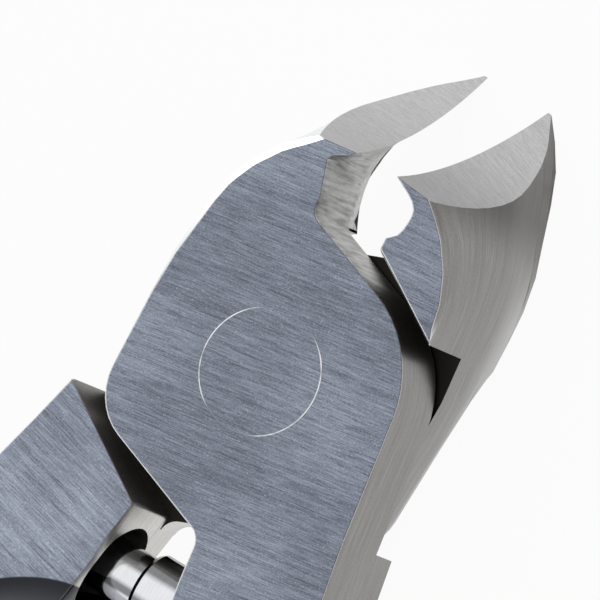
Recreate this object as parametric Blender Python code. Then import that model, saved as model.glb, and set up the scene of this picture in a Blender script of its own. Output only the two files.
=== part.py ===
"""Lap-joint nail nipper: two forged halves on a flush rivet, opened by a telescopic spring.

The two halves lie with their front faces up (+Z).  +Y points to the jaws, +X to the right,
and the pivot axis is the Z axis.  Z = 0 is the back plane of the joint, so the curved jaw
tips and the ends of the arched handles, on which the tool lies, reach a little below it.

Each half is drawn closed, with its cutting edge in the plane X = 0, as a stack of outlines
that are read at growing depths below the front face.  It is then turned open about the pivot.
"""
from math import atan2, cos, exp, pi, radians, sin, sqrt, tan

import bmesh
import bpy
from mathutils import Matrix, Vector

MM = 0.001

# --- joint -----------------------------------------------------------------------------
THICKNESS = 7.8 * MM          # front face to back plane at the joint
LAP_GAP = 0.24 * MM           # air between the two lapped plates
OPEN_ANGLE = radians(12.0)    # between the halves when the spring holds them open
LAP_RADIUS = 6.0 * MM         # half the width of the lapped plates
LAP_SLOPE = radians(25.5)     # of the plate edges that face the shoulders
LAP_UPPER = 5.71 * MM         # pivot to the plate edge below the jaws
LAP_LOWER = 6.18 * MM         # pivot to the plate edge above the handles
SHOULDER_GAP = 0.90 * MM      # plate edge to shoulder when the jaws are closed
SHOULDER_FILLET = 0.25 * MM   # inner end of the handle's shoulder
THROAT_RISE = 0.3 * MM        # of the plate edge at the throat above its straight run
THROAT_ROUND = 0.75 * MM
LAP_ROUND_UPPER = 5.0 * MM
LAP_ROUND_LOWER = 2.6 * MM
BACK_ROUND = 1.6 * MM         # rounded edge round the back

# --- rivet -----------------------------------------------------------------------------
RIVET_HEAD_RADIUS = 2.6 * MM
RIVET_PIN_RADIUS = 2.15 * MM
RIVET_HEAD_DEPTH = 1.1 * MM
RIVET_LAND = 0.35 * MM        # straight rim of each head
RIVET_CLEARANCE = 0.04 * MM
RIVET_SIDES = 72

# --- jaws ------------------------------------------------------------------------------
HEEL_Y = 9.56 * MM            # heel of the cutting edge, on the front face
TIP_Y = 14.58 * MM            # point of the jaw
TIP_DEPTH = 9.7 * MM          # of that point below the front face
BEVEL_RADIUS = 19.7 * MM      # of the hollow-ground bevel
JAW_ROOT_Y = 4.9 * MM         # where the outer wall of the jaw leaves the joint
THROAT_Y = 7.3 * MM           # where the inner wall of the jaw meets the joint
FOOT_X = 1.5 * MM             # start of the jaw's straight foot, from the closing plane
FOOT_Y = 6.75 * MM
FOOT_ROUND = 0.3 * MM
HOLLOW_FLARE = 0.38           # how fast the throat widens towards the back
HOLLOW_REACH = 0.37 * MM      # how soon the wall leaves the cutting edge, at the front
HOLLOW_REACH_GROWTH = 0.2
SHARP_DEPTH = 1.6 * MM        # over which the corner of the throat fades
CHEEK_ROLL = 5.5 * MM         # depth over which the outer cheek rolls out from the face
#  distance from the pivot along the tool and from the closing plane, in millimetres
FACE_CHEEK = ((4.9, 5.20), (5.92, 4.93), (7.03, 4.42), (8.18, 3.55), (9.05, 2.60), (9.56, 1.77),
              (10.4, 0.35))
BACK_CHEEK = ((4.9, 5.20), (6.2, 4.98), (7.2, 4.76), (8.25, 4.44), (9.26, 3.99), (10.19, 3.46),
              (11.0, 2.99), (11.8, 2.56), (12.5, 2.11), (13.1, 1.64), (13.6, 1.17), (14.1, 0.61),
              (14.7, 0.00))

# --- handles ---------------------------------------------------------------------------
HANDLE_START_Y = -9.0 * MM    # end of the straight part of the handle root
HANDLE_END_Y = -98.0 * MM
HANDLE_BOW = 15.5 * MM        # how far the grip bows out
HANDLE_END_X = 10.0 * MM
FACE_END_Y = -11.0 * MM       # where the flat front face starts to round off
ROUND_RUN = 13.0 * MM
HANDLE_RINGS = 26
HANDLE_SHAPE = 2.4            # exponent of the grip's oval section
#            share of length, half width, top depth, bottom depth
HANDLE_SECTIONS = ((0.00, 3.05, 0.00, THICKNESS / MM), (0.02, 3.08, 0.00, 7.1),
                   (0.05, 3.10, 0.00, 6.7), (0.13, 3.10, 0.35, 6.2), (0.35, 2.95, 1.00, 6.3),
                   (0.65, 2.75, 2.60, 7.5), (1.00, 2.35, 5.40, 9.7))
TIP_ROUND = 2.6 * MM
ROOT_DEPTH = 5.6 * MM         # back of the relieved handle root, below the front face
RELIEF_FLAT_Y = -13.0 * MM    # end of the flat part of the relief
RELIEF_END_Y = -24.0 * MM     # where the relief has left the handle
RELIEF_FALL = 1.3 * MM

# --- spring cartridge ------------------------------------------------------------------
CARTRIDGE_Y = -10.3 * MM
CARTRIDGE_DEPTH = 2.5 * MM    # of its axis below the front face
SEAT_DEPTH = 2.6 * MM         # handle wall to the centre of each ball end
SOCKET_RADIUS = 2.15 * MM
SEAT_CLEARANCE = 0.3 * MM
BARREL_RADIUS = 1.55 * MM
BARREL_WALL = 0.22 * MM
BARREL_LENGTH = 4.7 * MM      # ball centre to mouth
BARREL_FLOOR = -0.3 * MM      # bottom of the bore, from the ball centre
BARREL_LIP = 0.18 * MM        # rounding of the mouth
PLUNGER_RADIUS = 1.2 * MM
PLUNGER_LENGTH = 5.3 * MM     # ball centre to inner end
NOSE_RADIUS = 0.7 * MM        # of the nose that guides the spring
NOSE_LENGTH = 1.0 * MM
SPRING_WIRE = 0.32 * MM       # diameter
SPRING_TURNS = 5.5
SPRING_AIR = 0.1 * MM         # round the coil and at each of its ends
ROUND_SIDES = 40

# Each half: side of its jaw, layer of its plate, inner and outer handle edges, chamfer, and its
# throat: greatest depth, depth at the joint, where it starts to change, sharpness of its corner.
# The relief behind the handle root starts at its y.
HALVES = {
    "front_half": dict(side=-1, plate="front", inner=(0.40, 0.42), outer=(6.28, 6.60), chamfer=0.26,
                       throat=(1.10, 0.66, 9.05, 2.4), relief=-1.0),
    "rear_half": dict(side=1, plate="rear", inner=(1.16, 1.26), outer=(6.46, 7.22), chamfer=0.10,
                      throat=(1.52, 1.12, 7.75, 1.45), relief=-7.0),
}
SMALL_CHAMFER = 0.05 * MM
CHAMFER_DEPTH = 0.20 * MM


def clear_scene():
    for old in list(bpy.data.objects):
        bpy.data.objects.remove(old, do_unlink=True)


def make_material(name, colour, metallic, roughness):
    material = bpy.data.materials.new(name)
    material.use_nodes = True
    shader = material.node_tree.nodes["Principled BSDF"]
    shader.inputs["Base Color"].default_value = (*colour, 1.0)
    shader.inputs["Metallic"].default_value = metallic
    shader.inputs["Roughness"].default_value = roughness
    return material


def make_object(name, mesh_builder, material, sharp_degrees=28.0):
    mesh = bpy.data.meshes.new(name)
    bmesh.ops.remove_doubles(mesh_builder, verts=mesh_builder.verts, dist=1e-7)
    bmesh.ops.recalc_face_normals(mesh_builder, faces=mesh_builder.faces)
    mesh_builder.to_mesh(mesh)
    mesh_builder.free()
    mesh.shade_smooth()
    mesh.set_sharp_from_angle(angle=radians(sharp_degrees))
    obj = bpy.data.objects.new(name, mesh)
    obj.data.materials.append(material)
    bpy.context.scene.collection.objects.link(obj)
    return obj


def lerp(a, b, t):
    return a + (b - a) * t


def smoothstep(t):
    t = min(max(t, 0.0), 1.0)
    return t * t * (3.0 - 2.0 * t)


def table_curve(rows, at, column=1):
    """Smooth curve through the rows (position, value, ...), with flat-free cubic joints."""
    last = len(rows) - 1
    at = min(max(at, rows[0][0]), rows[last][0])
    i = max(k for k in range(last) if rows[k][0] <= at)
    slopes = []
    for k in (i, i + 1):
        low, high = max(k - 1, 0), min(k + 1, last)
        slopes.append((rows[high][column] - rows[low][column]) / (rows[high][0] - rows[low][0]))
    span = rows[i + 1][0] - rows[i][0]
    t = (at - rows[i][0]) / span
    blend = smoothstep(t)
    from_left = rows[i][column] + slopes[0] * span * t
    from_right = rows[i + 1][column] - slopes[1] * span * (1.0 - t)
    return lerp(from_left, from_right, blend)


def rounded_path(corners, steps=8):
    """Polyline through (x, y, radius) corners; each corner with a radius becomes an arc."""
    path = []
    for i, (x, y, radius) in enumerate(corners):
        here = Vector((x, y))
        if radius == 0.0 or i in (0, len(corners) - 1):
            path.append(here)
            continue
        back = (Vector(corners[i - 1][:2]) - here).normalized()
        ahead = (Vector(corners[i + 1][:2]) - here).normalized()
        half = back.angle(ahead) / 2.0
        centre = here + (back + ahead).normalized() * (radius / sin(half))
        reach = radius * cos(half) / sin(half)
        start, end = here + back * reach - centre, here + ahead * reach - centre
        turn = start.angle_signed(end)
        for k in range(steps + 1):
            path.append(centre + Matrix.Rotation(-turn * k / steps, 2) @ start)
    return path


# --- the shape of a jaw ----------------------------------------------------------------
def bevel_y(depth):
    """Distance from the pivot to the hollow-ground bevel, at a depth below the face."""
    chord = Vector((TIP_Y - HEEL_Y, TIP_DEPTH))
    across = Vector((chord.y, -chord.x)).normalized()
    rise = sqrt(BEVEL_RADIUS ** 2 - (chord.length / 2.0) ** 2)
    centre = Vector((HEEL_Y, 0.0)) + chord / 2.0 + across * rise
    return centre.x - sqrt(BEVEL_RADIUS ** 2 - (depth - centre.y) ** 2)


def hollow_x(spec, y, depth):
    """How far the throat's wall stands back from the closing plane."""
    deepest, at_joint, start, sharpness = spec["throat"]
    behind = max(bevel_y(depth) - y, 0.0)
    share = (start * MM - y) / (start * MM - THROAT_Y)
    cap = lerp(deepest, at_joint, min(max(share, 0.0), 1.0)) * MM
    cap += HOLLOW_FLARE * max(depth - THICKNESS / 2.0, 0.0)
    reach = HOLLOW_REACH + HOLLOW_REACH_GROWTH * depth
    corner = lerp(sharpness, 1.0, smoothstep(depth / SHARP_DEPTH))
    return cap * (1.0 - exp(-(behind / reach) ** corner))


def cheek_x(y, depth):
    """How far the outer wall of the jaw stands from the closing plane."""
    face = table_curve(FACE_CHEEK, y / MM) * MM
    if y > FACE_CHEEK[-1][0] * MM:
        (y0, x0), (y1, x1) = FACE_CHEEK[-2:]
        face = x1 * MM + (x1 - x0) / (y1 - y0) * (y - y1 * MM)
    back = table_curve(BACK_CHEEK, y / MM) * MM
    rolled = max(1.0 - depth / CHEEK_ROLL, 0.0) ** 2
    return lerp(back, face, rolled)


INNER_STEPS = 10
OUTER_STEPS = 12
EDGE_STEPS = 4


def jaw_inner(spec, depth, low_y=THROAT_Y):
    """Wall of the throat, from the cutting edge down."""
    top = bevel_y(depth)
    points = []
    for k in range(INNER_STEPS + 1):
        y = lerp(top, low_y, (k / INNER_STEPS) ** 1.7)
        points.append(Vector((-hollow_x(spec, y, depth), y)))
    return points


def jaw_outer(depth, low_y=JAW_ROOT_Y):
    """Outer cheek, from the joint up to the bevel."""
    top = bevel_y(depth)
    points = []
    for k in range(OUTER_STEPS + 1):
        y = lerp(low_y, top, (k / OUTER_STEPS) ** 0.8)
        points.append(Vector((-cheek_x(y, depth), y)))
    return points


def jaw_top(depth):
    """Straight line of the bevel at this depth, without its two ends."""
    top = bevel_y(depth)
    wide = -cheek_x(top, depth)
    return [Vector((lerp(wide, 0.0, k / EDGE_STEPS), top)) for k in range(1, EDGE_STEPS)]


def shoulder_point(distance, x):
    """Point at x on the line that faces the sloping plate edge, this far from the pivot."""
    return distance / cos(LAP_SLOPE) - abs(x) * sin(LAP_SLOPE) / cos(LAP_SLOPE)


def jaw_foot(spec, depth):
    """Foot of the jaw where it faces the other half's plate, without its two ends."""
    away = LAP_UPPER + SHOULDER_GAP
    at_joint = spec["throat"][1] * MM
    path = rounded_path([(-at_joint, THROAT_Y, 0),
                         (-at_joint, FOOT_Y, FOOT_ROUND),
                         (-FOOT_X, shoulder_point(away, FOOT_X), FOOT_ROUND),
                         (-FACE_CHEEK[0][1] * MM, JAW_ROOT_Y, 0)], steps=3)
    path = path[1:-1]
    flare = at_joint - hollow_x(spec, THROAT_Y, depth)
    return [point + Vector((flare * (1.0 - k / len(path)), 0.0)) for k, point in enumerate(path)]


def jaw_tail_loop(spec, share):
    """Closed outline of the jaw below the back plane, where the foot runs up to its point."""
    depth = lerp(THICKNESS, TIP_DEPTH, share)
    run = share ** 0.62
    top = bevel_y(depth)
    inner = jaw_inner(spec, depth, lerp(THROAT_Y, top, run))
    outer = jaw_outer(depth, lerp(JAW_ROOT_Y, top, run))
    first, last = jaw_inner(spec, THICKNESS)[-1], jaw_outer(THICKNESS)[0]
    foot = jaw_foot(spec, THICKNESS)
    moved = []
    for k, point in enumerate(foot):
        t = (k + 1) / (len(foot) + 1)
        offset = point - first.lerp(last, t)
        place = inner[-1].lerp(outer[0], t) + offset * (1.0 - run)
        place.x = min(place.x, inner[-1].x)
        moved.append(place)
    return outer + jaw_top(depth) + inner + moved


# --- the shape of the plate and the handle root ------------------------------------------
def root_ends(spec):
    """Inner and outer ends of the handle's shoulder, as heights on the handle's two edges."""
    away = LAP_LOWER + SHOULDER_GAP
    inner, outer = spec["inner"][0] * MM, spec["outer"][0] * MM
    reach = SHOULDER_FILLET / tan((pi / 2.0 + LAP_SLOPE) / 2.0)
    return -shoulder_point(away, inner) - reach, -shoulder_point(away, outer)


def plate_upper(spec):
    """Plate edge from the throat to the outer end of the handle's shoulder."""
    at_joint = HALVES["front_half"]["throat"][1] * MM
    corners = [(-hollow_x(spec, THROAT_Y, 0.0), THROAT_Y, 0),
               (-at_joint, shoulder_point(LAP_UPPER, 0.0) + THROAT_RISE, THROAT_ROUND),
               (LAP_RADIUS, shoulder_point(LAP_UPPER, LAP_RADIUS), LAP_ROUND_UPPER),
               (spec["outer"][0] * MM, root_ends(spec)[1], 0)]
    return rounded_path(corners, steps=9)[1:-1]


def plate_lower(spec):
    """Plate edge from the inner end of the handle's shoulder to the foot of the jaw's cheek."""
    inner = spec["inner"][0] * MM
    left = -LAP_RADIUS - 0.1 * MM
    corners = [(inner, root_ends(spec)[0], 0),
               (inner, -LAP_LOWER / cos(LAP_SLOPE) - inner * sin(LAP_SLOPE) / cos(LAP_SLOPE), 0.8 * MM),
               (left, -shoulder_point(LAP_LOWER, left), LAP_ROUND_LOWER),
               (-5.78 * MM, 1.2 * MM, 0),
               (-5.60 * MM, 3.0 * MM, 0),
               (-5.2 * MM, JAW_ROOT_Y, 0)]
    return rounded_path(corners, steps=7)[1:-1]


def handle_outer(spec):
    """Outer edge of the handle root, from the shoulder to its straight end."""
    first, last = (x * MM for x in spec["outer"])
    top = root_ends(spec)[1]
    return [Vector((lerp(first, last, t), lerp(top, HANDLE_START_Y, t))) for t in (0.0, 0.5, 1.0)]


def handle_inner(spec):
    """Inner edge of the handle root, from its straight end up to the shoulder."""
    first, last = (x * MM for x in spec["inner"])
    top = root_ends(spec)[0]
    return [Vector((last, HANDLE_START_Y)), Vector((first, top))]


def handle_shoulder(spec):
    """Shoulder of the handle, from its inner end to its outer end, without the two ends."""
    inner, outer = spec["inner"][0] * MM, spec["outer"][0] * MM
    low, high = root_ends(spec)
    corner = -shoulder_point(LAP_LOWER + SHOULDER_GAP, inner)
    path = rounded_path([(inner, low, 0), (inner, corner, SHOULDER_FILLET), (outer, high, 0)], steps=3)
    return path[2:-1]


# --- one half as a single skin ------------------------------------------------------------
def inset(points, amounts, level_ys):
    """Move each point of a closed loop inward by its amount; points on level_ys keep their y."""
    count = len(points)
    area = sum(points[i].cross(points[(i + 1) % count]) for i in range(count))
    sign = 1.0 if area > 0 else -1.0
    moved = []
    for i, point in enumerate(points):
        along = (points[(i + 1) % count] - points[i - 1]).normalized()
        step = Vector((-along.y, along.x)) * sign * amounts[i]
        if any(abs(point.y - y) < 1e-9 for y in level_ys):
            step = Vector((amounts[i] if step.x > 0 else -amounts[i], 0.0))
        moved.append(point + step)
    return moved


def back_inset(depth):
    """How far the rounded back edge has drawn in at this depth."""
    into = depth - (THICKNESS - BACK_ROUND)
    if into <= 0.0:
        return 0.0
    return BACK_ROUND - sqrt(max(BACK_ROUND ** 2 - into ** 2, 0.0))


def edge_amount(part, point, depth, spec):
    """Chamfer at the front face, rounding at the back, none where the jaw goes on below."""
    if part == "bevel" or (part == "throat" and depth == 0.0):
        return 0.0
    if depth == 0.0:
        if point.x < -1.2 * MM and point.y > -1.0 * MM:
            grown = smoothstep((point.y + 1.0 * MM) / (7.0 * MM))
            return lerp(SMALL_CHAMFER, spec["chamfer"] * MM, grown)
        return SMALL_CHAMFER
    if part in ("cheek", "throat", "foot", "shoulder"):
        return 0.0
    near_jaw = smoothstep((JAW_ROOT_Y - point.y) / (3.5 * MM))
    corner = Vector((spec["inner"][0] * MM, root_ends(spec)[0]))
    from_corner = smoothstep(((point - corner).length - 0.4 * MM) / (4.0 * MM))
    return back_inset(depth) * near_jaw * from_corner


class HalfMesh:
    """Builds one half of the nipper as a single closed skin, from outlines at growing depths."""

    def __init__(self, spec):
        self.spec = spec
        self.bm = bmesh.new()
        self.cache = {}
        self.sides = {}

    def vert(self, point, depth):
        key = (round(point.x, 8), round(point.y, 8), round(depth, 8))
        if key not in self.cache:
            x = -self.spec["side"] * point.x
            self.cache[key] = self.bm.verts.new((x, point.y, THICKNESS - depth))
        return self.cache[key]

    def wall(self, upper, lower, closed):
        count = len(upper)
        for i in range(count if closed else count - 1):
            j = (i + 1) % count
            corners = []
            for v in (upper[i], upper[j], lower[j], lower[i]):
                if v not in corners:
                    corners.append(v)
            if len(corners) > 2:
                self.bm.faces.new(corners)

    def rings_at(self, depth, parts):
        """Vertices of the named stretches of outline at a depth, with their edges broken."""
        spec = self.spec
        stretches = {
            "inner": handle_inner(spec), "lower": plate_lower(spec), "cheek": jaw_outer(depth),
            "bevel": jaw_top(depth), "throat": jaw_inner(spec, depth), "upper": plate_upper(spec),
            "outer": handle_outer(spec), "foot": jaw_foot(spec, depth), "shoulder": handle_shoulder(spec)}
        names, points, amounts = [], [], []
        for part in parts:
            for point in stretches[part]:
                names.append(part)
                points.append(point)
                amounts.append(edge_amount(part, point, depth, spec))
        moved = inset(points, amounts, (HANDLE_START_Y, bevel_y(depth)))
        rings = {part: [] for part in parts}
        for part, point in zip(names, moved):
            rings[part].append(self.vert(point, depth))
        if "inner" in rings:
            self.sides[depth] = (rings["inner"][0], rings["outer"][-1])
        return rings

    def across(self, depth):
        """Vertices between the two sides of the handle root's straight end, from outer to inner."""
        inner, outer = self.sides[depth]
        steps = 6
        made = []
        for k in range(1, steps):
            place = outer.co.lerp(inner.co, k / steps)
            made.append(self.bm.verts.new(place))
        return made


PLATE = ("inner", "lower", "cheek", "bevel", "throat", "upper", "outer")
JAW = ("cheek", "bevel", "throat", "foot")
ROOT = ("inner", "shoulder", "outer")


def chain(rings, parts):
    return [v for part in parts for v in rings[part]]


def build_layers(half):
    """Skin of the plate, the jaw and the handle root; returns the open ring of the root's end."""
    front_plate = half.spec["plate"] == "front"
    lap = THICKNESS / 2.0 + (-LAP_GAP if front_plate else LAP_GAP) / 2.0
    upper_depths = [0.0, CHAMFER_DEPTH] + [lerp(CHAMFER_DEPTH, lap, k / 5) for k in range(1, 6)]
    rounding = THICKNESS - BACK_ROUND
    lower_depths = [lap] + [lerp(lap, rounding, k / 3) for k in (1, 2, 3)]
    lower_depths += [rounding + BACK_ROUND * sin(radians(a)) for a in (30.0, 50.0, 70.0, 90.0)]
    lower_depths[-1] = THICKNESS

    def plate_walls(depths):
        rings = [half.rings_at(d, PLATE) for d in depths]
        for a, b in zip(rings, rings[1:]):
            half.wall(chain(a, PLATE), chain(b, PLATE), closed=False)
        return rings

    def island_walls(depths):
        jaws = [half.rings_at(d, JAW) for d in depths]
        roots = [half.rings_at(d, ROOT) for d in depths]
        for a, b in zip(jaws, jaws[1:]):
            half.wall(chain(a, JAW), chain(b, JAW), closed=True)
        for a, b in zip(roots, roots[1:]):
            half.wall(chain(a, ROOT), chain(b, ROOT), closed=False)
        return jaws, roots

    if front_plate:
        plates = plate_walls(upper_depths)
        jaws, roots = island_walls(lower_depths)
        lap_plate, lap_jaw, lap_root = plates[-1], jaws[0], roots[0]
    else:
        jaws, roots = island_walls(upper_depths)
        plates = plate_walls(lower_depths)
        lap_plate, lap_jaw, lap_root = plates[0], jaws[-1], roots[-1]

    half.bm.faces.new([lap_plate["inner"][-1]] + lap_plate["lower"] + [lap_plate["cheek"][0]]
                      + lap_jaw["foot"][::-1] + [lap_plate["throat"][-1]] + lap_plate["upper"]
                      + [lap_plate["outer"][0]] + lap_root["shoulder"][::-1])
    top_across, bottom_across = half.across(0.0), half.across(THICKNESS)
    if front_plate:
        half.bm.faces.new(chain(plates[0], PLATE) + top_across)
        half.bm.faces.new(chain(roots[-1], ROOT) + bottom_across)
        tail = jaws[-1]
    else:
        half.bm.faces.new(chain(jaws[0], JAW))
        half.bm.faces.new(chain(roots[0], ROOT) + top_across)
        tail = half.rings_at(THICKNESS, JAW)
        last = plates[-1]
        half.bm.faces.new(last["inner"] + last["lower"] + [last["cheek"][0]] + tail["foot"][::-1]
                          + [last["throat"][-1]] + last["upper"] + last["outer"] + bottom_across)
    close_jaw_tail(half, chain(tail, JAW))
    depths = sorted(half.sides)
    return ([half.sides[d][0] for d in depths] + bottom_across[::-1]
            + [half.sides[d][1] for d in depths[::-1]] + top_across)


def close_jaw_tail(half, ring):
    """Taper the jaw below the back plane to its point."""
    for share in (0.06, 0.16, 0.30, 0.46, 0.62, 0.77, 0.89, 0.97):
        depth = lerp(THICKNESS, TIP_DEPTH, share)
        lower = [half.vert(p, depth) for p in jaw_tail_loop(half.spec, share)]
        half.wall(ring, lower, closed=True)
        ring = lower
    half.bm.faces.new(ring)


def bezier(points, t):
    """Point and direction on a cubic curve in the plane."""
    a, b, c, d = points
    ab, bc, cd = a.lerp(b, t), b.lerp(c, t), c.lerp(d, t)
    abc, bcd = ab.lerp(bc, t), bc.lerp(cd, t)
    return abc.lerp(bcd, t), (bcd - abc).normalized()


def loft_handle(half, ring):
    """Carry the end of the handle root on along the bowed grip to its rounded end."""
    spec = half.spec
    inner, outer = spec["inner"][1] * MM, spec["outer"][1] * MM
    start = Vector(((inner + outer) / 2.0, HANDLE_START_Y))
    reach = HANDLE_END_Y - HANDLE_START_Y
    spine = (start,
             start + Vector((1.0 * MM, reach * 0.26)),
             Vector((HANDLE_BOW, HANDLE_START_Y + reach * 0.60)),
             Vector((HANDLE_END_X, HANDLE_END_Y)))
    half_width = (outer - inner) / 2.0
    units = []
    for v in ring:
        x = -spec["side"] * v.co.x
        units.append(((x - start.x) / half_width, 1.0 - 2.0 * (THICKNESS - v.co.z) / THICKNESS))

    def place(t, squeeze, beyond):
        centre, along = bezier(spine, t)
        lean = atan2(along.x, -along.y) * smoothstep((start.y - centre.y) / (8.0 * MM))
        side = Vector((cos(lean), sin(lean)))
        wide = table_curve(HANDLE_SECTIONS, t, 1) * MM * squeeze
        top = table_curve(HANDLE_SECTIONS, t, 2) * MM
        low = table_curve(HANDLE_SECTIONS, t, 3) * MM
        middle, tall = (top + low) / 2.0, (low - top) / 2.0 * squeeze
        roundness = smoothstep((FACE_END_Y - centre.y) / ROUND_RUN)
        new_ring = []
        for u, v in units:
            norm = (abs(u) ** HANDLE_SHAPE + abs(v) ** HANDLE_SHAPE) ** (1.0 / HANDLE_SHAPE)
            scale = lerp(1.0, 1.0 / norm, roundness)
            point = centre + side * (u * scale * wide) + along * beyond
            new_ring.append(half.vert(point, middle - v * scale * tall))
        return new_ring

    stations = [(((k + 1) / HANDLE_RINGS) ** 1.3, 1.0, 0.0) for k in range(HANDLE_RINGS)]
    for k in range(1, 5):
        angle = k * pi / 2.0 / 4.6
        stations.append((1.0, cos(angle), TIP_ROUND * sin(angle)))
    for station in stations:
        lower = place(*station)
        half.wall(ring, lower, closed=True)
        ring = lower
    half.bm.faces.new(ring)


# --- round pieces -------------------------------------------------------------------------
def lathe(profile, sides):
    """Solid of revolution about Z from (radius, height) points that run from axis to axis."""
    bm = bmesh.new()
    rings = []
    for radius, height in profile:
        if radius == 0.0:
            rings.append([bm.verts.new((0.0, 0.0, height))])
            continue
        turns = [2.0 * pi * k / sides for k in range(sides)]
        rings.append([bm.verts.new((radius * cos(turn), radius * sin(turn), height)) for turn in turns])
    for a, b in zip(rings, rings[1:]):
        for k in range(sides):
            j = (k + 1) % sides
            corners = []
            for v in (a[k % len(a)], a[j % len(a)], b[j % len(b)], b[k % len(b)]):
                if v not in corners:
                    corners.append(v)
            bm.faces.new(corners)
    return bm


def dome(radius, height, steps=6, rising=True):
    """Quarter of a circle from the axis to the radius, as (radius, height) points."""
    sign = 1.0 if rising else -1.0
    return [(radius * sin(pi / 2 * k / steps), height + sign * radius * (1.0 - cos(pi / 2 * k / steps)))
            for k in range(steps + 1)]


def rivet_profile(grow):
    """Pin with a tapered flush head at each end, larger all round by grow."""
    head, pin = RIVET_HEAD_RADIUS + grow, RIVET_PIN_RADIUS + grow
    past = grow * 4.0
    return [(0.0, -past), (head, -past), (head, RIVET_LAND), (pin, RIVET_HEAD_DEPTH),
            (pin, THICKNESS - RIVET_HEAD_DEPTH), (head, THICKNESS - RIVET_LAND),
            (head, THICKNESS + past), (0.0, THICKNESS + past)]


def add_cut(target, name, mesh_builder, location=(0.0, 0.0, 0.0), rotation=(0.0, 0.0, 0.0)):
    """Cut the target with a hidden tool that is parented to it."""
    tool = make_object(name, mesh_builder, target.data.materials[0])
    tool.parent = target
    tool.location = location
    tool.rotation_euler = rotation
    tool.hide_render = True
    tool.display_type = "WIRE"
    cut = target.modifiers.new(name, "BOOLEAN")
    cut.object = tool
    cut.operation = "DIFFERENCE"
    cut.solver = "EXACT"


def socket_profile(depth):
    """Round-bottomed blind hole, from its bottom to past its mouth."""
    bottom = dome(SOCKET_RADIUS, -depth, steps=5)
    return bottom + [(SOCKET_RADIUS, 2.0 * MM), (0.0, 2.0 * MM)]


def relief_block(spec):
    """Block that thins the handle root from behind and runs out along the handle."""
    top = THICKNESS - ROOT_DEPTH
    start = spec["relief"] * MM
    profile = [(start, top), (start, -THICKNESS), (RELIEF_END_Y, -THICKNESS),
               (RELIEF_END_Y, top - RELIEF_FALL), (RELIEF_FLAT_Y, top)]
    width = 2.0 * HANDLE_BOW
    bm = bmesh.new()
    rings = [[bm.verts.new((x, y, z)) for y, z in profile] for x in (-width, width)]
    for k in range(len(profile)):
        j = (k + 1) % len(profile)
        bm.faces.new((rings[0][k], rings[0][j], rings[1][j], rings[1][k]))
    bm.faces.new(rings[0][::-1])
    bm.faces.new(rings[1])
    return bm


def wall_x(spec):
    """Inner wall of the handle beside the cartridge, in the closed drawing of the half."""
    return spec["inner"][1] * MM


def make_half(name, spec, material):
    half = HalfMesh(spec)
    ring = build_layers(half)
    loft_handle(half, ring)
    obj = make_object(name, half.bm, material)
    obj.rotation_euler.z = -spec["side"] * OPEN_ANGLE / 2.0
    add_cut(obj, name + "_rivet_bore", lathe(rivet_profile(RIVET_CLEARANCE), RIVET_SIDES))
    add_cut(obj, name + "_back_relief", relief_block(spec))
    depth = SEAT_DEPTH + BARREL_RADIUS + SEAT_CLEARANCE
    away = -spec["side"]
    add_cut(obj, name + "_spring_socket", lathe(socket_profile(depth), ROUND_SIDES),
            location=(away * wall_x(spec), CARTRIDGE_Y, THICKNESS - CARTRIDGE_DEPTH),
            rotation=(0.0, -away * pi / 2.0, 0.0))
    return obj


def make_rivet(material):
    return make_object("pivot_rivet", lathe(rivet_profile(0.0), RIVET_SIDES), material)


def seat(spec):
    """Centre of a ball end in its socket, with the tool held open."""
    x = -spec["side"] * (wall_x(spec) + SEAT_DEPTH)
    point = Vector((x, CARTRIDGE_Y, THICKNESS - CARTRIDGE_DEPTH))
    return Matrix.Rotation(-spec["side"] * OPEN_ANGLE / 2.0, 3, "Z") @ point


def barrel_profile():
    """Closed tube: ball end round the origin, mouth at the far end, then the bore back down."""
    bore = BARREL_RADIUS - BARREL_WALL
    outside = dome(BARREL_RADIUS, -BARREL_RADIUS)
    outside += [(BARREL_RADIUS, BARREL_LENGTH - BARREL_LIP),
                (BARREL_RADIUS - BARREL_WALL / 2.0, BARREL_LENGTH), (bore, BARREL_LENGTH)]
    return outside + [(bore, BARREL_FLOOR), (0.0, BARREL_FLOOR)]


def plunger_profile():
    """Pin with a ball end round the origin, a waist, a shank and a nose that guides the spring."""
    profile = dome(PLUNGER_RADIUS, -PLUNGER_RADIUS)
    shank = PLUNGER_LENGTH - NOSE_LENGTH
    profile += [(PLUNGER_RADIUS, shank), (NOSE_RADIUS, shank), (NOSE_RADIUS, PLUNGER_LENGTH),
                (0.0, PLUNGER_LENGTH)]
    return profile


def spring_mesh(length):
    """Open coil along Z with flat ends, swept as a round wire."""
    bm = bmesh.new()
    wire = SPRING_WIRE / 2.0
    radius = BARREL_RADIUS - BARREL_WALL - SPRING_AIR - wire
    per_turn, sides = 14, 6
    count = int(SPRING_TURNS * per_turn)
    rings = []
    for k in range(count + 1):
        angle = 2.0 * pi * k / per_turn
        height = wire + (length - 2.0 * wire) * k / count
        out = Vector((cos(angle), sin(angle), 0.0))
        centre = out * radius + Vector((0.0, 0.0, height))
        ring = []
        for j in range(sides):
            turn = 2.0 * pi * j / sides
            rim = out * (wire * cos(turn)) + Vector((0.0, 0.0, wire * sin(turn)))
            ring.append(bm.verts.new(centre + rim))
        rings.append(ring)
    for a, b in zip(rings, rings[1:]):
        for j in range(sides):
            bm.faces.new((a[j], a[(j + 1) % sides], b[(j + 1) % sides], b[j]))
    bm.faces.new(rings[0])
    bm.faces.new(rings[-1][::-1])
    return bm


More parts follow.
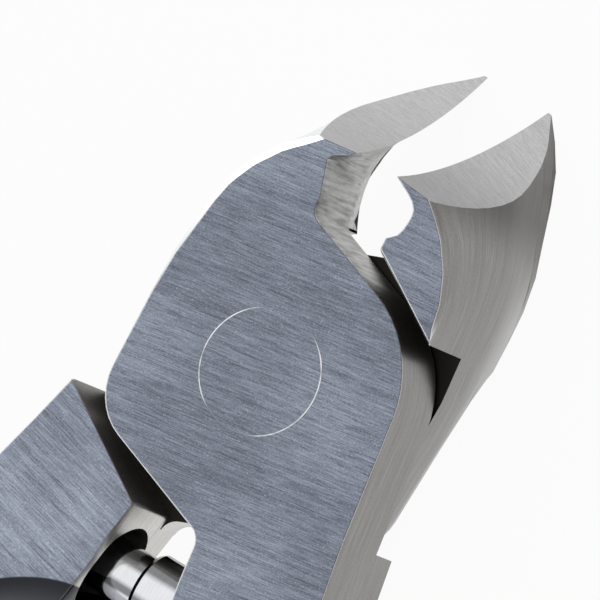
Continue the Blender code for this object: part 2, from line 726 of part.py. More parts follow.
def make_cartridge(chrome, wire):
    """Barrel seated in the front half, plunger seated in the rear half, spring between them."""
    barrel_seat, plunger_seat = seat(HALVES["front_half"]), seat(HALVES["rear_half"])
    line = plunger_seat - barrel_seat
    heading = line.to_track_quat("Z", "Y")
    barrel = make_object("spring_barrel", lathe(barrel_profile(), ROUND_SIDES), chrome)
    barrel.location, barrel.rotation_euler = barrel_seat, heading.to_euler()
    plunger = make_object("spring_plunger", lathe(plunger_profile(), ROUND_SIDES), chrome)
    plunger.location, plunger.rotation_euler = plunger_seat, (-line).to_track_quat("Z", "Y").to_euler()
    room = line.length - (PLUNGER_LENGTH - NOSE_LENGTH) - BARREL_FLOOR
    spring = make_object("coil_spring", spring_mesh(room - 2.0 * SPRING_AIR), wire)
    spring.parent = barrel
    spring.location = (0.0, 0.0, BARREL_FLOOR + SPRING_AIR)


def main():
    clear_scene()
    steel = make_material("brushed_steel", (0.30, 0.33, 0.38), 1.0, 0.36)
    rivet_steel = make_material("rivet_steel", (0.32, 0.35, 0.40), 1.0, 0.33)
    chrome = make_material("polished_chrome", (0.75, 0.76, 0.78), 1.0, 0.08)
    wire = make_material("spring_wire", (0.45, 0.46, 0.48), 1.0, 0.25)
    for name, spec in HALVES.items():
        make_half(name, spec, steel)
    make_rivet(rivet_steel)
    make_cartridge(chrome, wire)


main()
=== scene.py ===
"""Looks of the nail nipper: ground and polished steel, a studio table and the camera."""
from math import cos, pi, radians, sin
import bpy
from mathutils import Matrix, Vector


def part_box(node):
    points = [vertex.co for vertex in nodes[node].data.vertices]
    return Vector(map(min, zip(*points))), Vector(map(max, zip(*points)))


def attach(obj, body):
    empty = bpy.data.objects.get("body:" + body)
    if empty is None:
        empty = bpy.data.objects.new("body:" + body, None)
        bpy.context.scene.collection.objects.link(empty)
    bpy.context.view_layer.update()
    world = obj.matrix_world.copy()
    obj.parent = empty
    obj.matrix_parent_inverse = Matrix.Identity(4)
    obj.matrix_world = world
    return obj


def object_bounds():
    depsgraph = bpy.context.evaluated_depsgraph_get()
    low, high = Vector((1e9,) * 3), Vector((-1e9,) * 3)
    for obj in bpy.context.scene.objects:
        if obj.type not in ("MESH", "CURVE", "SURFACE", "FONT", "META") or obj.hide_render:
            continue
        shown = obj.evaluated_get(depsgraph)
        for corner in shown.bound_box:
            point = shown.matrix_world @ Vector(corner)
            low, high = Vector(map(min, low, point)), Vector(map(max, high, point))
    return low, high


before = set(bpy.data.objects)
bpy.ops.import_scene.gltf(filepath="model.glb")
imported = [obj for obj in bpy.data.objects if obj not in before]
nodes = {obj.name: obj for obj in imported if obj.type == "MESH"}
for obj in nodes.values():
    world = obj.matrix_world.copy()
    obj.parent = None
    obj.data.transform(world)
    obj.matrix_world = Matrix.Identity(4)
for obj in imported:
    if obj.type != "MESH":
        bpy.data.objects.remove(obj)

from types import SimpleNamespace

import bmesh
import bpy
from mathutils import Matrix, Vector

MM = 0.001
cad_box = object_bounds()

# --- places, from the frame -----------------------------------------------------------------
BACK_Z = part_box("pivot_rivet")[0].z
FACE_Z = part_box("pivot_rivet")[1].z
RIVET_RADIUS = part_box("pivot_rivet")[1].x
TABLE_Z = cad_box[0].z
OPEN_HALF = radians(6.0)      # each half is turned this far from the closed tool

# --- where a finish, painted light and painted shade start and end on a half -----------------
# A pair is a ramp: 0 at its first number, 1 at its second. Lengths are in mm.
FACE_DEPTH = (1.2, 0.8)       # a flat top deeper than this is no ground face
EDGE_DEPTH = (0.30, 0.22)     # an edge is burnished, and has painted edge light and shade, only next to the front face
JOINT_SHADE_DEPTH = (1.0, 2.0)     # a flat top deeper than this lies inside the joint and is painted dark as shade
JOINT_SHADE_END = (6.4, 6.15)      # Y where the painted shade inside the joint ends, towards the jaws
BEVEL_START = (8.6, 8.9)      # Y
CHEEK_START = (4.0, 5.5)      # Y, of the outer wall of a jaw
THROAT_START = (4.6, 5.6)     # Y, of the inner wall between the jaws
THROAT_END = (10.2, 9.4)      # Y
DEEP_LIGHT_DEPTH = (5.2, 8.4)       # a wall towards the back is painted lighter, as painted light
DEEP_LIGHT_END = (9.5, 6.0)         # Y
RIM_START = (8.2, 10.6)       # Y, from where a jaw's outer wall darkens with painted shade
ROOT_START = (-4.5, -5.5)     # Y, of the handle's root next to the spring
HANDLE_START = (1.0, -1.0)    # Y, of the handle's root next to the spring, where its wall is painted lighter
FACE_STOP = -11.2             # Y where the flat face of a handle ends, on the closed tool
FACE_ARC = 0.106              # how fast that end curves back across the handle, per mm
GRIP_EDGE = (-0.05, 0.05)     # width of that end
GRIP_SHADE_FADE = (0.0, 5.0)        # past it, where the painted shade on the grip lightens
BEVEL_SHADE_FADE = (0.0, 9.0)       # depth over which a bevel's painted shade lightens
REAR_SHADE_FADE = (-1.0, 3.0)       # Y over which the rear half's face darkens towards its jaw, as painted shade
BORE_GUARD = (0.3, 0.5)       # no painted edge highlight or shade next to the rivet's bore

# the same for directions, as parts of a unit normal
FLAT = (0.985, 0.995)         # up
LEVEL = (0.8, 0.9)            # nearly up
STEEP = (0.25, 0.40)          # up, of the steepest broken edge
TILTED = (0.992, 0.97)        # up, of the flattest broken edge
ON_BEVEL = (0.90, 0.93)       # along BEVEL_NORMAL
OFF_BEVEL = (0.5, 0.1)        # share of the bevel's own mask
OUTWARD = (0.05, 0.15)
DEEP_LIGHT_OUTWARD = (0.2, 0.6)
ROOT_OUTWARD = (0.15, 0.35)
INWARD = (-0.15, -0.35)
BEVEL_NORMAL = (0.0, 0.888, 0.46)
EDGE_LIGHT = (-0.85, -0.52, 0.0)     # edges that lean this way get a painted highlight, the others painted shade
HIGHLIGHT_LEAN = (0.05, 0.22)
SHADE_LEAN = (-0.10, -0.35)
EDGE_WIDTH = 0.10 * MM
EDGE_SAMPLES = 6

# --- grain: how long and how wide a mark is, in mm -------------------------------------------
FACE_MARK = (1.3, 0.05)
BEVEL_MARK = (1.0, 0.045)
WALL_MARK = (2.4, 0.06)
BEVEL_GRAIN = (0.95, -0.138, 0.266)
FRONT_GRAIN = radians(7.4)    # the grain's turn from X on the front plate and its handle
REAR_GRAIN = radians(4.0)
REAR_HANDLE_GRAIN = radians(-13.6)
BRUSH_DEPTH = 4e-6
BRUSH_STRENGTH = 0.5
GRIP_BRUSH = 0.1

# --- rings over the rivet's joint ------------------------------------------------------------
SEAM_WIDTH = 0.05 * MM
SEAM_LIFT = SEAM_WIDTH / 20.0
SEAM_SIDES = 144
# each arc of painted highlight: its middle, in radians from X, and how far from there it starts and is
# full
SEAM_RIGHT = (-0.10, 1.25, 0.75)
SEAM_LEFT = (2.75, 0.75, 0.35)

# --- smooth shading --------------------------------------------------------------------------
MERGE_DISTANCE = 0.0001 * MM
SHARP_ANGLE = radians(24.0)

# --- camera ----------------------------------------------------------------------------------
TOWARD_CAMERA = Vector((0.372, 0.0435, 0.928))
CAMERA_UP = Vector((-0.471, 0.870, 0.148))
VIEW_WIDTH = 24.0 * MM
VIEW_SHIFT = (1.6 * MM, 2.86 * MM)   # picture centre from the pivot, to the right and up
CAMERA_DISTANCE = 800.0 * MM
SENSOR_WIDTH = 36.0                  # mm

# --- colours (linear) ------------------------------------------------------------------------
FACE_STEEL = (0.226, 0.250, 0.304)
SPECK_STEEL = (0.52, 0.55, 0.60)
BEVEL_STEEL = (0.46, 0.455, 0.46)
WALL_STEEL = (0.268, 0.262, 0.250)
ROOT_LIGHT_STEEL = (0.66, 0.65, 0.62)
DEEP_LIGHT_STEEL = (0.62, 0.62, 0.62)
# painted shade, on a jaw's tip and along edges
PAINTED_SHADE_STEEL = (0.08, 0.076, 0.072)
GRIP_STEEL = (0.34, 0.355, 0.40)
# polished steel, also the colour of painted highlights
POLISH_AND_HIGHLIGHT_STEEL = (0.86, 0.87, 0.88)
JOINT_SHADE_STEEL = (0.03, 0.028, 0.025)
THROAT_DARK = (0.22, 0.22, 0.22)
THROAT_LIGHT = (0.50, 0.50, 0.49)
# painted highlight on the rivet's seam
SEAM_HIGHLIGHT = (0.95, 0.95, 0.95)
CHROME = ((0.66, 0.67, 0.70), (0.84, 0.85, 0.88))
WIRE = ((0.40, 0.41, 0.43), (0.62, 0.63, 0.65))

# --- shares and levels of those colours ------------------------------------------------------
GRIP_SHADE_DARKEST = 0.08
# painted shade of the bevels, at the face and deep down; the rear one darker
FRONT_BEVEL_TOP = 0.90
REAR_BEVEL_TOP = 0.70
BEVEL_DEEP = 1.20
REAR_FACE_SHADE_LEVEL = (1.22, 0.90)
DEEP_LIGHT_SHARE = 0.8
RIM_SHARE = 0.75

# --- roughness -------------------------------------------------------------------------------
FACE_ROUGH = (0.46, 0.34)     # between the marks and on them
WALL_ROUGH = 0.38
EDGE_ROUGH = 0.28
GRIP_ROUGH = 0.20
SEAM_ROUGH = 0.3
CHROME_ROUGH = (0.06, 0.14)
WIRE_ROUGH = (0.22, 0.34)

# --- studio ----------------------------------------------------------------------------------
TABLE_HALF = 1.5              # m
TABLE_DROP = 0.02 * MM        # under the tool
TABLE_PAINT = (0.85, 0.85, 0.85, 1.0)
TABLE_GLOW = 0.94
WHITE = (1.0, 1.0, 1.0, 1.0)
# brightness by how steeply a ray rises, from 0 for level or falling to 1 for straight up
SKY = ((0.0, 1.0), (0.16, 1.0), (0.34, 0.30), (0.66, 0.30), (0.84, 1.05), (1.0, 1.05))
SOFTBOX_DIRECTION = (-0.92, 0.30, 0.25)
SOFTBOX_DISTANCE = 0.6        # m
SOFTBOX_SIZE = (0.7, 0.4)     # m
SOFTBOX_WATTS = 1.5

MIX_SOCKETS = {"RGBA": (6, 7, 2), "VECTOR": (4, 5, 1), "FLOAT": (2, 3, 0)}


def turned(vector, angle):
    return Matrix.Rotation(angle, 3, "Z") @ Vector(vector)


class Graph:
    """Short way to write a shader: every call adds one node and returns its output."""

    def __init__(self, name):
        self.material = bpy.data.materials.new(name)
        self.material.use_nodes = True
        self.tree = self.material.node_tree
        self.shader = self.tree.nodes["Principled BSDF"]
        self.coords = self.tree.nodes.new("ShaderNodeTexCoord")
        self.place = self.vector("SCALE", self.coords.outputs["Object"], scale=1.0 / MM)
        self.normal = self.coords.outputs["Normal"]

    def feed(self, socket, value):
        if isinstance(value, bpy.types.NodeSocket):
            self.tree.links.new(value, socket)
        elif hasattr(socket.default_value, "__len__"):
            count = len(socket.default_value)
            socket.default_value = (tuple(value) + (1.0,))[:count]
        else:
            socket.default_value = value

    def math(self, operation, *values):
        node = self.tree.nodes.new("ShaderNodeMath")
        node.operation = operation
        for socket, value in zip(node.inputs, values):
            self.feed(socket, value)
        return node.outputs[0]

    def product(self, first, *others):
        for value in others:
            first = self.math("MULTIPLY", first, value)
        return first

    def inverse(self, value):
        return self.math("SUBTRACT", 1.0, value)

    def vector(self, operation, *values, scale=None):
        node = self.tree.nodes.new("ShaderNodeVectorMath")
        node.operation = operation
        for socket, value in zip(node.inputs, values):
            self.feed(socket, value)
        if scale is not None:
            self.feed(node.inputs["Scale"], scale)
        return node.outputs["Value"] if operation in ("DOT_PRODUCT", "LENGTH") else node.outputs[0]

    def axis(self, vector, name):
        node = self.tree.nodes.new("ShaderNodeSeparateXYZ")
        self.feed(node.inputs[0], vector)
        return node.outputs[name]

    def ramp(self, value, low, high, to_low=0.0, to_high=1.0):
        node = self.tree.nodes.new("ShaderNodeMapRange")
        node.interpolation_type = "SMOOTHSTEP"
        for key, item in (("Value", value), ("From Min", low), ("From Max", high),
                          ("To Min", to_low), ("To Max", to_high)):
            self.feed(node.inputs[key], item)
        return node.outputs["Result"]

    def noise(self, vector, scale=1.0, detail=2.0, roughness=0.5):
        node = self.tree.nodes.new("ShaderNodeTexNoise")
        for key, item in (("Vector", vector), ("Scale", scale), ("Detail", detail),
                          ("Roughness", roughness)):
            self.feed(node.inputs[key], item)
        return node.outputs["Fac"]

    def mix(self, factor, a, b, kind="RGBA"):
        node = self.tree.nodes.new("ShaderNodeMix")
        node.data_type = kind
        first, second, result = MIX_SOCKETS[kind]
        for key, item in ((0, factor), (first, a), (second, b)):
            self.feed(node.inputs[key], item)
        return node.outputs[result]

    def stretched(self, direction, along, across):
        """Place in units of a grain that is long one way and fine across."""
        run = self.vector("DOT_PRODUCT", self.place, direction)
        extra = self.math("MULTIPLY", run, 1.0 / across - 1.0 / along)
        fine = self.vector("SCALE", self.place, scale=1.0 / across)
        return self.vector("SUBTRACT", fine, self.vector("SCALE", direction, scale=extra))

    def bump(self, height, strength):
        node = self.tree.nodes.new("ShaderNodeBump")
        self.feed(node.inputs["Strength"], strength)
        self.feed(node.inputs["Distance"], BRUSH_DEPTH)
        self.feed(node.inputs["Height"], height)
        return node.outputs["Normal"]

    def edge_lean(self):
        """How a rounded edge would turn the surface from its own normal, next to an edge."""
        node = self.tree.nodes.new("ShaderNodeBevel")
        node.samples = EDGE_SAMPLES
        node.inputs["Radius"].default_value = EDGE_WIDTH
        turn = self.tree.nodes.new("ShaderNodeVectorTransform")
        turn.vector_type = "NORMAL"
        turn.convert_from, turn.convert_to = "WORLD", "OBJECT"
        self.feed(turn.inputs[0], node.outputs[0])
        return self.vector("SUBTRACT", turn.outputs[0], self.normal)

    def finish(self, colour, roughness, normal=None):
        self.feed(self.shader.inputs["Base Color"], colour)
        self.feed(self.shader.inputs["Roughness"], roughness)
        self.shader.inputs["Metallic"].default_value = 1.0
        if normal is not None:
            self.feed(self.shader.inputs["Normal"], normal)
        return self.material


def streak_level(g, grain, fine_share, wide_share):
    """Brightness round 1 that runs along the grain, with fine dust between the lines."""
    lines = g.math("SUBTRACT", g.noise(grain, 1.0, 4.0, 0.7), 0.5)
    broad = g.math("SUBTRACT", g.noise(grain, 0.2, 2.0, 0.5), 0.5)
    dust = g.math("SUBTRACT", g.noise(g.place, 14.0, 2.0, 0.6), 0.5)
    level = g.math("ADD", 1.0, g.product(lines, fine_share))
    level = g.math("ADD", level, g.product(broad, wide_share))
    return g.math("ADD", level, g.product(dust, 0.45 * fine_share))


def ground_face(g, grain):
    """Colour and roughness of the flat ground faces."""
    cloud = g.ramp(g.noise(g.place, 0.16, 2.0, 0.5), 0.35, 0.65, 0.92, 1.16)
    level = g.product(streak_level(g, grain, 2.2, 0.7), cloud)
    specks = g.ramp(g.noise(g.place, 14.0, 1.0, 0.5), 0.70, 0.78, 0.0, 0.60)
    colour = g.mix(specks, g.vector("SCALE", FACE_STEEL, scale=level), SPECK_STEEL)
    return colour, g.ramp(level, 0.8, 1.2, *FACE_ROUGH)


def plate_grain(g, angle):
    """Grinding marks that run at this angle from X."""
    return g.stretched(turned((1.0, 0.0, 0.0), angle), *FACE_MARK)


def half_places(g, side, turn):
    """How deep, how far along and how far past the end of the face, and which finish lies where."""
    at = SimpleNamespace()
    at.along = g.axis(g.place, "Y")
    at.depth = g.math("SUBTRACT", FACE_Z / MM, g.axis(g.place, "Z"))
    up = g.axis(g.normal, "Z")
    at.outward = g.product(g.axis(g.normal, "X"), float(side))

    at.face = g.product(g.ramp(up, *FLAT), g.ramp(at.depth, *FACE_DEPTH))
    toward_bevel = g.vector("DOT_PRODUCT", g.normal, turned(BEVEL_NORMAL, turn))
    at.bevel = g.product(g.ramp(toward_bevel, *ON_BEVEL), g.ramp(at.along, *BEVEL_START))
    at.cheek = g.product(g.ramp(at.outward, *OUTWARD), g.ramp(at.along, *CHEEK_START))
    at.rim = g.product(g.ramp(at.along, *RIM_START), at.cheek)
    at.throat = g.product(g.ramp(at.outward, *INWARD), g.ramp(at.along, *THROAT_START),
                          g.ramp(at.along, *THROAT_END))
    at.worn = g.product(g.ramp(at.depth, *DEEP_LIGHT_DEPTH), g.ramp(at.along, *DEEP_LIGHT_END),
                        g.ramp(at.outward, *DEEP_LIGHT_OUTWARD))
    at.root = g.product(g.ramp(at.outward, *ROOT_OUTWARD), g.ramp(at.along, *ROOT_START))
    at.buried = g.product(g.ramp(at.depth, *JOINT_SHADE_DEPTH), g.ramp(up, *LEVEL),
                          g.ramp(at.along, *JOINT_SHADE_END))
    at.by_face = g.product(g.ramp(at.depth, *EDGE_DEPTH), g.ramp(at.bevel, *OFF_BEVEL))
    at.edge = g.product(at.by_face, g.ramp(up, *STEEP), g.ramp(up, *TILTED))
    if side > 0:
        at.edge = g.product(at.edge, g.inverse(at.cheek))

    # the flat face ends in an arc across the handle, here in the frame of the closed tool
    own_x = g.vector("DOT_PRODUCT", g.place, turned((1.0, 0.0, 0.0), turn))
    own_y = g.vector("DOT_PRODUCT", g.place, turned((0.0, 1.0, 0.0), turn))
    arc = g.math("ADD", own_y, g.product(own_x, own_x, FACE_ARC))
    at.past_arc = g.math("SUBTRACT", FACE_STOP, arc)
    at.grip = g.ramp(at.past_arc, *GRIP_EDGE)
    return at


def throat_colour(g):
    """Dull inner wall of a jaw, with marks and grime that run through the thickness."""
    marks = g.noise(g.vector("MULTIPLY", g.place, (7.0, 7.0, 0.5)), 1.0, 4.0, 0.6)
    grime = g.noise(g.vector("MULTIPLY", g.place, (2.2, 2.2, 0.5)), 1.0, 3.0, 0.6)
    grime = g.math("ADD", g.product(marks, 0.5), g.product(grime, 0.5))
    return g.mix(g.ramp(grime, 0.36, 0.62), THROAT_DARK, THROAT_LIGHT)


def wall_colour(g, side, at, grain):
    """Brushed walls with painted light and shade: lighter deep towards the back and by the spring, the
    left jaw's outside polished and painted bright as a highlight, the right one's darkening to its tip.
    """
    level = streak_level(g, grain, 1.1, 0.30)
    wall = g.vector("SCALE", WALL_STEEL, scale=level)
    wall = g.mix(at.throat, wall, throat_colour(g))
    # painted light: a wall deep towards the back is painted lighter
    wall = g.mix(g.product(at.worn, DEEP_LIGHT_SHARE), wall, DEEP_LIGHT_STEEL)
    # painted shade: the right jaw's outside darkens to its tip
    wall = g.mix(g.product(at.rim, RIM_SHARE), wall, PAINTED_SHADE_STEEL)
    if side > 0:
        # painted light on the rear handle's wall by the spring, which the front half shades
        return g.mix(at.root, wall, g.vector("SCALE", ROOT_LIGHT_STEEL, scale=level))
    # painted highlight: the left jaw's polished outside is painted bright, the right one's is not
    return g.mix(at.cheek, wall, POLISH_AND_HIGHLIGHT_STEEL)


def bevel_colour(g, side, at, grain):
    """Hollow-ground bevel, with painted shade: lighter the deeper it lies, and darker on the rear half.
    """
    top_level = FRONT_BEVEL_TOP if side < 0 else REAR_BEVEL_TOP
    shade = g.ramp(at.depth, *BEVEL_SHADE_FADE, top_level, BEVEL_DEEP)
    level = g.product(streak_level(g, grain, 0.95, 0.12), shade)
    return g.vector("SCALE", BEVEL_STEEL, scale=level)


def grip_colour(g, at, grain):
    """Smooth grip, with painted shade where it starts at the end of the flat face."""
    shade = g.ramp(at.past_arc, *GRIP_SHADE_FADE, GRIP_SHADE_DARKEST, 1.0)
    level = g.product(shade, streak_level(g, grain, 0.25, 0.15))
    return g.vector("SCALE", GRIP_STEEL, scale=level)


def painted_edge_light(g, at, turn, colour):
    """Painted highlight and painted shade: thin lines along the edges of the face, bright on one side and
    dark on the other.
    """
    lean = g.vector("DOT_PRODUCT", g.edge_lean(), turned(EDGE_LIGHT, turn))
    from_pivot = g.vector("LENGTH", g.vector("MULTIPLY", g.place, (1.0, 1.0, 0.0)))
    guard = [RIVET_RADIUS / MM + margin for margin in BORE_GUARD]
    place = g.product(at.by_face, g.ramp(from_pivot, *guard))
    colour = g.mix(g.product(g.ramp(lean, *HIGHLIGHT_LEAN), place), colour, POLISH_AND_HIGHLIGHT_STEEL)
    return g.mix(g.product(g.ramp(lean, *SHADE_LEAN), place), colour, PAINTED_SHADE_STEEL)


def half_steel(name, side, face_turn, handle_turn):
    """Ground face, hollow-ground bevel, brushed walls, broken polished edges and smooth grip, with
    painted light and shade.
    """
    g = Graph(name)
    turn = -side * OPEN_HALF
    at = half_places(g, side, turn)
    face_grain = g.mix(g.ramp(at.along, *HANDLE_START), plate_grain(g, face_turn),
                       plate_grain(g, handle_turn), "VECTOR")
    bevel_grain = g.stretched(turned(BEVEL_GRAIN, turn).normalized(), *BEVEL_MARK)
    wall_grain = g.vector("MULTIPLY", g.place,
                          (1.0 / WALL_MARK[0], 1.0 / WALL_MARK[0], 1.0 / WALL_MARK[1]))

    face, face_rough = ground_face(g, face_grain)
    if side > 0:
        # painted light and shade: the rear face lighter on the handle, darker towards its jaw
        face = g.vector("SCALE", face, scale=g.ramp(at.along, *REAR_SHADE_FADE, *REAR_FACE_SHADE_LEVEL))
    colour = g.mix(at.face, wall_colour(g, side, at, wall_grain), face)
    colour = g.mix(at.bevel, colour, bevel_colour(g, side, at, bevel_grain))
    colour = g.mix(at.grip, colour, grip_colour(g, at, wall_grain))
    colour = g.mix(g.product(at.edge, g.inverse(at.grip)), colour, POLISH_AND_HIGHLIGHT_STEEL)
    # painted highlight and painted shade along the edges of the face
    colour = painted_edge_light(g, at, turn, colour)
    # painted shade on flat tops deep inside the joint
    colour = g.mix(at.buried, colour, JOINT_SHADE_STEEL)

    rough = g.mix(at.face, WALL_ROUGH, face_rough, "FLOAT")
    rough = g.mix(at.grip, rough, GRIP_ROUGH, "FLOAT")
    rough = g.mix(at.edge, rough, EDGE_ROUGH, "FLOAT")
    relief = g.mix(at.face, wall_grain, face_grain, "VECTOR")
    relief = g.noise(g.mix(at.bevel, relief, bevel_grain, "VECTOR"), 1.0, 3.0, 0.6)
    strength = g.mix(at.grip, BRUSH_STRENGTH, GRIP_BRUSH, "FLOAT")
    return g.finish(colour, rough, g.bump(relief, strength))


def rivet_steel():
    """Ground together with the faces of the halves, so it has their finish."""
    g = Graph("rivet_steel_look")
    grain = plate_grain(g, FRONT_GRAIN)
    colour, rough = ground_face(g, grain)
    return g.finish(colour, rough, g.bump(g.noise(grain, 1.0, 3.0, 0.6), BRUSH_STRENGTH))


def seam_highlight_steel():
    """Rim of the rivet, with a painted highlight on two arcs and the face's steel between them."""
    g = Graph("rivet_seam_highlight_look")
    angle = g.math("ARCTAN2", g.axis(g.place, "Y"), g.axis(g.place, "X"))
    arcs = []
    for turned_to, (middle, start, full) in ((angle, SEAM_RIGHT), (g.math("ABSOLUTE", angle), SEAM_LEFT)):
        away = g.math("ABSOLUTE", g.math("SUBTRACT", turned_to, middle))
        arcs.append(g.ramp(away, start, full))
    patchy = g.ramp(g.noise(g.place, 1.2, 3.0, 0.6), 0.30, 0.55, 0.30, 0.85)
    bright = g.product(g.math("MAXIMUM", *arcs), patchy)
    return g.finish(g.mix(bright, FACE_STEEL, SEAM_HIGHLIGHT), SEAM_ROUGH)


def chrome():
    """Turned and plated spring cartridge."""
    g = Graph("cartridge_chrome_look")
    turning = g.noise(g.vector("MULTIPLY", g.place, (12.0, 0.6, 0.6)), 1.0, 3.0, 0.6)
    return g.finish(g.mix(turning, *CHROME), g.ramp(turning, 0.2, 0.8, *CHROME_ROUGH))


def wire_steel():
    """Drawn spring wire."""
    g = Graph("spring_wire_look")
    drawn = g.noise(g.place, 8.0, 3.0, 0.6)
    return g.finish(g.mix(drawn, *WIRE), g.ramp(drawn, 0.2, 0.8, *WIRE_ROUGH))


def smooth_group():
    """Geometry nodes that join the triangles and shade smooth across all but sharp edges."""
    group = bpy.data.node_groups.new("smooth_surfaces", "GeometryNodeTree")
    group.interface.new_socket("Geometry", in_out="INPUT", socket_type="NodeSocketGeometry")
    group.interface.new_socket("Geometry", in_out="OUTPUT", socket_type="NodeSocketGeometry")
    source = group.nodes.new("NodeGroupInput")
    bare = group.nodes.new("GeometryNodeRemoveAttribute")
    bare.inputs["Name"].default_value = "custom_normal"
    merge = group.nodes.new("GeometryNodeMergeByDistance")
    merge.inputs["Distance"].default_value = MERGE_DISTANCE
    smooth = group.nodes.new("GeometryNodeSetShadeSmooth")
    angle = group.nodes.new("GeometryNodeInputMeshEdgeAngle")
    sharp = group.nodes.new("FunctionNodeCompare")
    sharp.inputs[1].default_value = SHARP_ANGLE
    crease = group.nodes.new("GeometryNodeSetShadeSmooth")
    crease.domain = "EDGE"
    crease.inputs["Shade Smooth"].default_value = False
    result = group.nodes.new("NodeGroupOutput")
    link = group.links.new
    link(source.outputs[0], bare.inputs["Geometry"])
    link(bare.outputs[0], merge.inputs["Geometry"])
    link(merge.outputs[0], smooth.inputs["Geometry"])
    link(smooth.outputs[0], crease.inputs["Geometry"])
    link(angle.outputs["Unsigned Angle"], sharp.inputs[0])
    link(sharp.outputs[0], crease.inputs["Selection"])
    link(crease.outputs[0], result.inputs[0])
    return group


def assign(node, material):
    """Give a CAD node its look and smooth shading."""
    mesh = nodes[node].data
    mesh.materials.clear()
    mesh.materials.append(material)
    nodes[node].modifiers.new("smooth", "NODES").node_group = smoothing


def make_seam(name, height, facing):
    """Flat ring over the joint between the rivet and its bore."""
    bm = bmesh.new()
    inner = RIVET_RADIUS - SEAM_WIDTH / 3.0
    rims = []
    for radius in (inner, inner + SEAM_WIDTH):
        angles = [2.0 * pi * k / SEAM_SIDES for k in range(SEAM_SIDES)]
        rims.append([bm.verts.new((radius * cos(a), radius * sin(a), height)) for a in angles])
    for k in range(SEAM_SIDES):
        j = (k + 1) % SEAM_SIDES
        corners = (rims[0][k], rims[1][k], rims[1][j], rims[0][j])
        bm.faces.new(corners if facing > 0 else corners[::-1])
    mesh = bpy.data.meshes.new(name)
    bm.to_mesh(mesh)
    bm.free()
    ring = bpy.data.objects.new(name, mesh)
    bpy.context.scene.collection.objects.link(ring)
    ring.data.materials.append(seam_highlight_look)
    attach(ring, "front_half")


def seen_directly(tree, share):
    """The share for rays from the camera or a reflection, and 0 for light that falls on things."""
    path = tree.nodes.new("ShaderNodeLightPath")
    total = path.outputs["Is Camera Ray"]
    for name in ("Is Glossy Ray", "Is Transmission Ray"):
        either = tree.nodes.new("ShaderNodeMath")
        either.operation = "MAXIMUM"
        tree.links.new(total, either.inputs[0])
        tree.links.new(path.outputs[name], either.inputs[1])
        total = either.outputs[0]
    scale = tree.nodes.new("ShaderNodeMath")
    scale.operation = "MULTIPLY"
    tree.links.new(total, scale.inputs[0])
    scale.inputs[1].default_value = share
    return scale.outputs[0]


def table_white():
    """White paint that the camera and reflections see as nearly pure white."""
    material = bpy.data.materials.new("table_white")
    material.use_nodes = True
    tree = material.node_tree
    tree.nodes.clear()
    diffuse = tree.nodes.new("ShaderNodeBsdfDiffuse")
    diffuse.inputs["Color"].default_value = TABLE_PAINT
    glow = tree.nodes.new("ShaderNodeEmission")
    mix = tree.nodes.new("ShaderNodeMixShader")
    output = tree.nodes.new("ShaderNodeOutputMaterial")
    tree.links.new(seen_directly(tree, TABLE_GLOW), mix.inputs[0])
    tree.links.new(diffuse.outputs[0], mix.inputs[1])
    tree.links.new(glow.outputs[0], mix.inputs[2])
    tree.links.new(mix.outputs[0], output.inputs[0])
    return material


def make_floor():
    """Table top just under the tool."""
    bm = bmesh.new()
    signs = ((-1, -1), (1, -1), (1, 1), (-1, 1))
    height = TABLE_Z - TABLE_DROP
    bm.faces.new([bm.verts.new((x * TABLE_HALF, y * TABLE_HALF, height)) for x, y in signs])
    mesh = bpy.data.meshes.new("floor")
    bm.to_mesh(mesh)
    bm.free()
    floor = bpy.data.objects.new("floor", mesh)
    bpy.context.scene.collection.objects.link(floor)
    floor.data.materials.append(table_white())


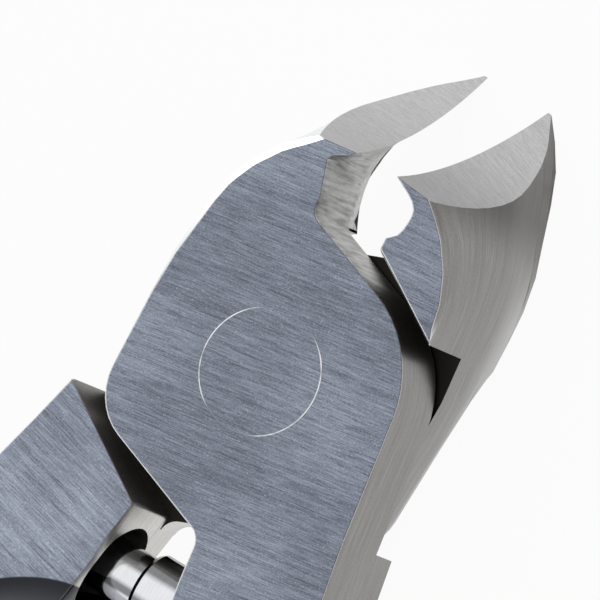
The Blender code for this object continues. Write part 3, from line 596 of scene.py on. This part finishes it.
def make_world():
    """White backdrop for the camera; other rays meet a darker band between two bright ones."""
    world = bpy.data.worlds.new("studio")
    bpy.context.scene.world = world
    world.use_nodes = True
    tree = world.node_tree
    background = tree.nodes["Background"]
    coords = tree.nodes.new("ShaderNodeTexCoord")
    split = tree.nodes.new("ShaderNodeSeparateXYZ")
    tree.links.new(coords.outputs["Generated"], split.inputs[0])
    sky = tree.nodes.new("ShaderNodeValToRGB")
    tree.links.new(split.outputs["Z"], sky.inputs[0])
    while len(sky.color_ramp.elements) < len(SKY):
        sky.color_ramp.elements.new(0.5)
    for stop, (height, level) in zip(sky.color_ramp.elements, SKY):
        stop.position = height
        stop.color = (level, level, level, 1.0)
    path = tree.nodes.new("ShaderNodeLightPath")
    mix = tree.nodes.new("ShaderNodeMix")
    mix.data_type = "RGBA"
    tree.links.new(path.outputs["Is Camera Ray"], mix.inputs[0])
    tree.links.new(sky.outputs[0], mix.inputs[6])
    mix.inputs[7].default_value = WHITE
    tree.links.new(mix.outputs[2], background.inputs["Color"])


def make_softbox():
    """Soft area light low on the left, pointing at the pivot."""
    data = bpy.data.lights.new("softbox_left", "AREA")
    data.shape = "RECTANGLE"
    data.size, data.size_y = SOFTBOX_SIZE
    data.energy = SOFTBOX_WATTS
    light = bpy.data.objects.new("softbox_left", data)
    bpy.context.scene.collection.objects.link(light)
    direction = Vector(SOFTBOX_DIRECTION).normalized()
    light.location = direction * SOFTBOX_DISTANCE
    light.rotation_mode = "QUATERNION"
    light.rotation_quaternion = direction.to_track_quat("Z", "Y")


def make_camera():
    """Long lens, far enough away that the view is nearly parallel."""
    back = TOWARD_CAMERA.normalized()
    right = CAMERA_UP.cross(back).normalized()
    up = back.cross(right)
    target = Vector((0.0, 0.0, FACE_Z)) + right * VIEW_SHIFT[0] + up * VIEW_SHIFT[1]
    data = bpy.data.cameras.new("camera")
    data.sensor_width = SENSOR_WIDTH
    data.lens = SENSOR_WIDTH * CAMERA_DISTANCE / VIEW_WIDTH
    data.clip_start, data.clip_end = 0.01, 10.0
    camera = bpy.data.objects.new("camera", data)
    bpy.context.scene.collection.objects.link(camera)
    matrix = Matrix((right, up, back)).transposed().to_4x4()
    matrix.translation = target + back * CAMERA_DISTANCE
    camera.matrix_world = matrix
    bpy.context.scene.camera = camera


smoothing = smooth_group()
assign("front_half", half_steel("front_half_look", -1, FRONT_GRAIN, FRONT_GRAIN))
assign("rear_half", half_steel("rear_half_look", 1, REAR_GRAIN, REAR_HANDLE_GRAIN))
assign("pivot_rivet", rivet_steel())
cartridge = chrome()
assign("spring_barrel", cartridge)
assign("spring_plunger", cartridge)
assign("coil_spring", wire_steel())
seam_highlight_look = seam_highlight_steel()
make_seam("front_rivet_seam", FACE_Z + SEAM_LIFT, 1)
make_seam("back_rivet_seam", BACK_Z - SEAM_LIFT, -1)
make_floor()
make_world()
make_softbox()
make_camera()
bpy.context.scene.view_settings.view_transform = "Standard"
